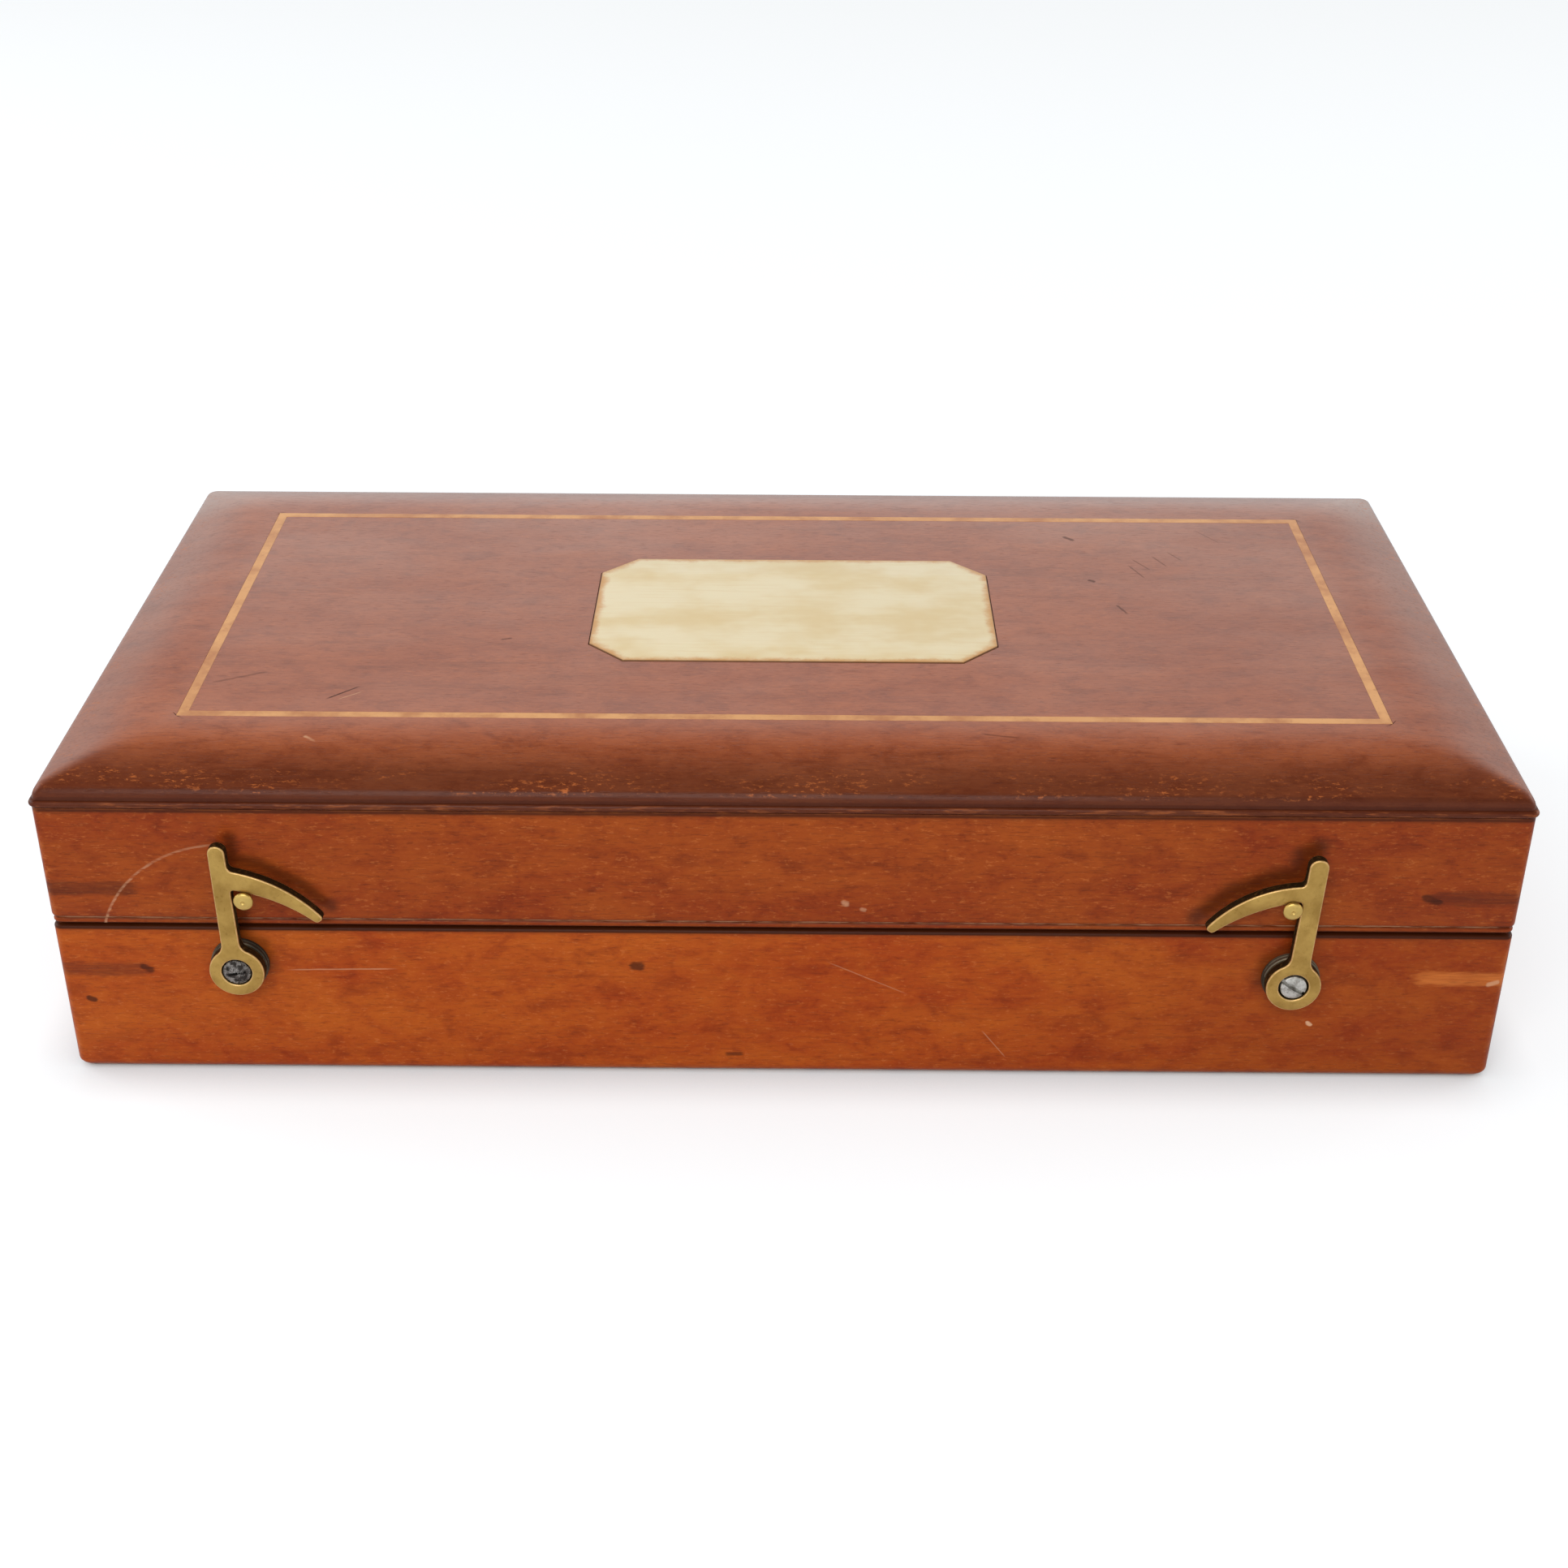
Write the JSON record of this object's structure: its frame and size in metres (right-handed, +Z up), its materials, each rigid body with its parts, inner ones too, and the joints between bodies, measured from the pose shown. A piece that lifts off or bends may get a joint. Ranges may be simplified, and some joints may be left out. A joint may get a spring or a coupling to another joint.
{
  "type": "cased hydrometer set",
  "caption": "Low hinged wooden case with side hooks, holding a brass float hydrometer, slotted weights and a thermometer in a fitted block.",
  "frame": {"origin": "middle of the case's underside, on the surface that it stands on", "axes": "+X along the case to the right, +Y from the front with the hooks to the hinged back, +Z up"},
  "size_m": [0.2066, 0.11, 0.0499],
  "materials": {
    "case_mahogany": "polished mahogany with a ribbon grain",
    "panel_mahogany": "hazed french-polished mahogany",
    "key_wood": "dark stained feather keys",
    "boxwood": "boxwood stringing",
    "bone_plaque": "aged bone, bare",
    "velvet": "dark velvet over a wooden block",
    "lining_velvet": "padded velvet",
    "hook_brass": "aged brass",
    "dark_brass": "tarnished brass",
    "hinge_brass": "dull brass",
    "screw_steel": "worn steel",
    "instrument_brass": "lacquered brass",
    "plate_bone": "bone scale plate",
    "tube_glass": "clear glass",
    "clip_brass": "thin brass strap"
  },
  "bodies": {
    "case": {"base_front": "case_mahogany", "base_back": "case_mahogany", "base_left_end": "case_mahogany", "base_right_end": "case_mahogany", "base_bottom": "case_mahogany", "base_corner_keys": "key_wood", "fitted_block": "velvet", "left_hinge_base_leaf": "hinge_brass", "right_hinge_base_leaf": "hinge_brass", "left_hinge_pin": "hinge_brass", "right_hinge_pin": "hinge_brass", "hinge_base_screws": "hinge_brass", "left_hook_washer": "dark_brass", "right_hook_washer": "dark_brass", "left_hook_screw": "screw_steel", "right_hook_screw": "screw_steel", "hydrometer": "instrument_brass", "thermometer_plate": "plate_bone", "thermometer_tube": "tube_glass", "thermometer_clips": "clip_brass", "weight_10": "instrument_brass", "weight_20": "instrument_brass", "weight_30": "instrument_brass", "weight_40": "instrument_brass", "weight_50": "instrument_brass", "weight_60": "instrument_brass", "weight_70": "instrument_brass", "weight_80": "instrument_brass", "weight_90": "instrument_brass"},
    "lid": {"lid_front": "case_mahogany", "lid_back": "case_mahogany", "lid_left_end": "case_mahogany", "lid_right_end": "case_mahogany", "lid_top_panel": "panel_mahogany", "lid_corner_keys": "key_wood", "string_inlay": "boxwood", "plaque": "bone_plaque", "lid_lining_pad": "lining_velvet", "left_hinge_lid_leaf": "hinge_brass", "right_hinge_lid_leaf": "hinge_brass", "hinge_lid_screws": "hinge_brass", "left_hook_stud": "hook_brass", "right_hook_stud": "hook_brass"},
    "left_hook": {"left_hook": "hook_brass"},
    "right_hook": {"right_hook": "hook_brass"}
  },
  "joints": [
    {"name": "lid_hinge", "type": "hinge", "parent": "case", "child": "lid", "pos_m": [0, 0.0514, 0.02515], "axis": [-1, 0, 0], "range_deg": [0, 100]},
    {"name": "left_hook_pivot", "type": "hinge", "parent": "case", "child": "left_hook", "pos_m": [-0.07695, -0.0545, 0.01918], "axis": [0, -1, 0], "range_deg": [0, 135]},
    {"name": "right_hook_pivot", "type": "hinge", "parent": "case", "child": "right_hook", "pos_m": [0.07224, -0.0545, 0.01794], "axis": [0, 1, 0], "range_deg": [0, 135]}
  ]
}
